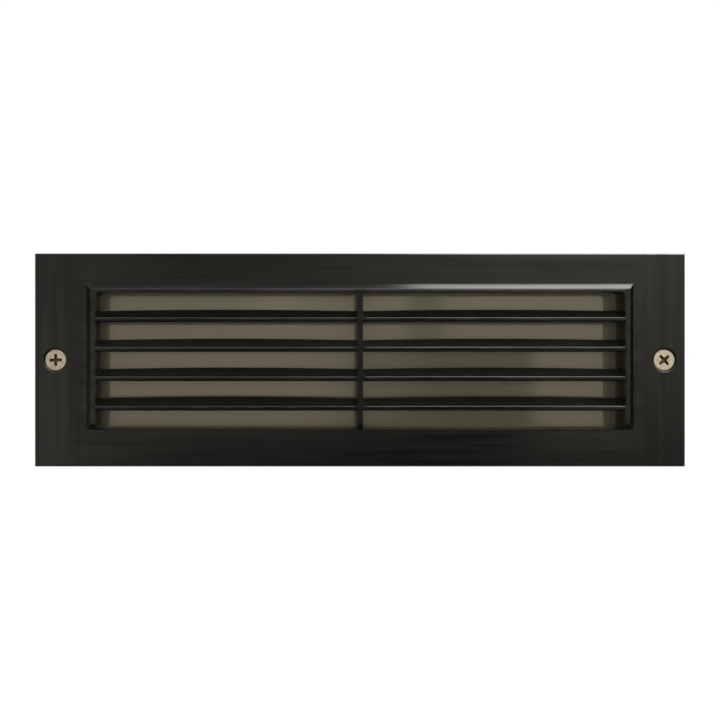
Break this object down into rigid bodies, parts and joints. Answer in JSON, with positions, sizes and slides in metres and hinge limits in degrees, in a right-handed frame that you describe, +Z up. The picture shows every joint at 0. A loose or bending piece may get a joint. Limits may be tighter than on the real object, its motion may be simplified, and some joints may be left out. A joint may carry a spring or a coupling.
{
  "type": "step light",
  "caption": "Recessed wall step light: louvred rectangular face with frosted lens on a cast back box with lampholder, reflector, terminal block and cable gland.",
  "frame": {"origin": "on the wall's surface, midway between the two face screws", "axes": "+X to the viewer's right along the plate, +Y into the wall, +Z up; the face looks along -Y"},
  "size_m": [0.235, 0.1098, 0.077],
  "materials": {
    "cast_black": "satin black enamel on brushed die casting",
    "frosted_glass": "frosted on its rear",
    "black_rubber": "matt",
    "spring_steel": "bright rolled",
    "zinc_steel": "zinc plated",
    "nylon": "natural moulded nylon",
    "grey_casting": "as cast, shot blasted",
    "brass": "turned",
    "nickelled_brass": "nickel plated",
    "bright_aluminium": "rolled bright sheet",
    "glazed_steatite": "glazed",
    "opal_glass": "opal",
    "grey_nylon": "moulded",
    "white_polyamide": "moulded",
    "brown_sleeve": "extruded sleeve",
    "blue_sleeve": "extruded sleeve"
  },
  "bodies": {
    "housing": {"back_box": "grey_casting", "face_gasket": "black_rubber", "screw_inserts": "brass", "entry_washers": "black_rubber", "entry_locknuts": "nickelled_brass", "gland_body": "nickelled_brass", "gland_seal": "black_rubber", "blanking_plug": "grey_nylon", "lampholder_bracket": "zinc_steel", "bracket_screws": "zinc_steel", "lampholder_body": "glazed_steatite", "lampholder_screws": "zinc_steel", "lampholder_shell": "nickelled_brass", "lampholder_contact": "brass", "reflector": "bright_aluminium", "reflector_screws": "zinc_steel", "terminal_block": "white_polyamide", "terminal_tubes": "brass", "terminal_screws": "zinc_steel", "terminal_block_screw": "zinc_steel", "live_lead": "brown_sleeve", "neutral_lead": "blue_sleeve", "earth_washer": "brass", "earth_screw": "brass"},
    "cover": {"face_casting": "cast_black", "lens_glass": "frosted_glass", "lens_gasket": "black_rubber", "lens_clips": "spring_steel", "lens_clip_screws": "zinc_steel"},
    "left_screw": {"face_screw_left": "zinc_steel", "screw_retainer_left": "nylon"},
    "right_screw": {"face_screw_right": "zinc_steel", "screw_retainer_right": "nylon"},
    "lamp": {"lamp_cap": "nickelled_brass", "lamp_envelope": "opal_glass"},
    "cable_nut": {"gland_nut": "nickelled_brass"}
  },
  "joints": [
    {"name": "cover_lift_off", "type": "slide", "parent": "housing", "child": "cover", "axis": [0, -1, 0], "range_m": [0, 0.08]},
    {"name": "left_screw_turn", "type": "hinge", "parent": "cover", "child": "left_screw", "pos_m": [-0.11, 0, 0], "axis": [0, 1, 0], "continuous": true},
    {"name": "right_screw_turn", "type": "hinge", "parent": "cover", "child": "right_screw", "pos_m": [0.11, 0, 0], "axis": [0, 1, 0], "continuous": true},
    {"name": "lamp_turn", "type": "hinge", "parent": "housing", "child": "lamp", "pos_m": [-0.031, 0.045, 0], "axis": [1, 0, 0], "continuous": true},
    {"name": "gland_nut_turn", "type": "hinge", "parent": "housing", "child": "cable_nut", "pos_m": [0.09, 0.097, 0], "axis": [0, 1, 0], "continuous": true}
  ]
}
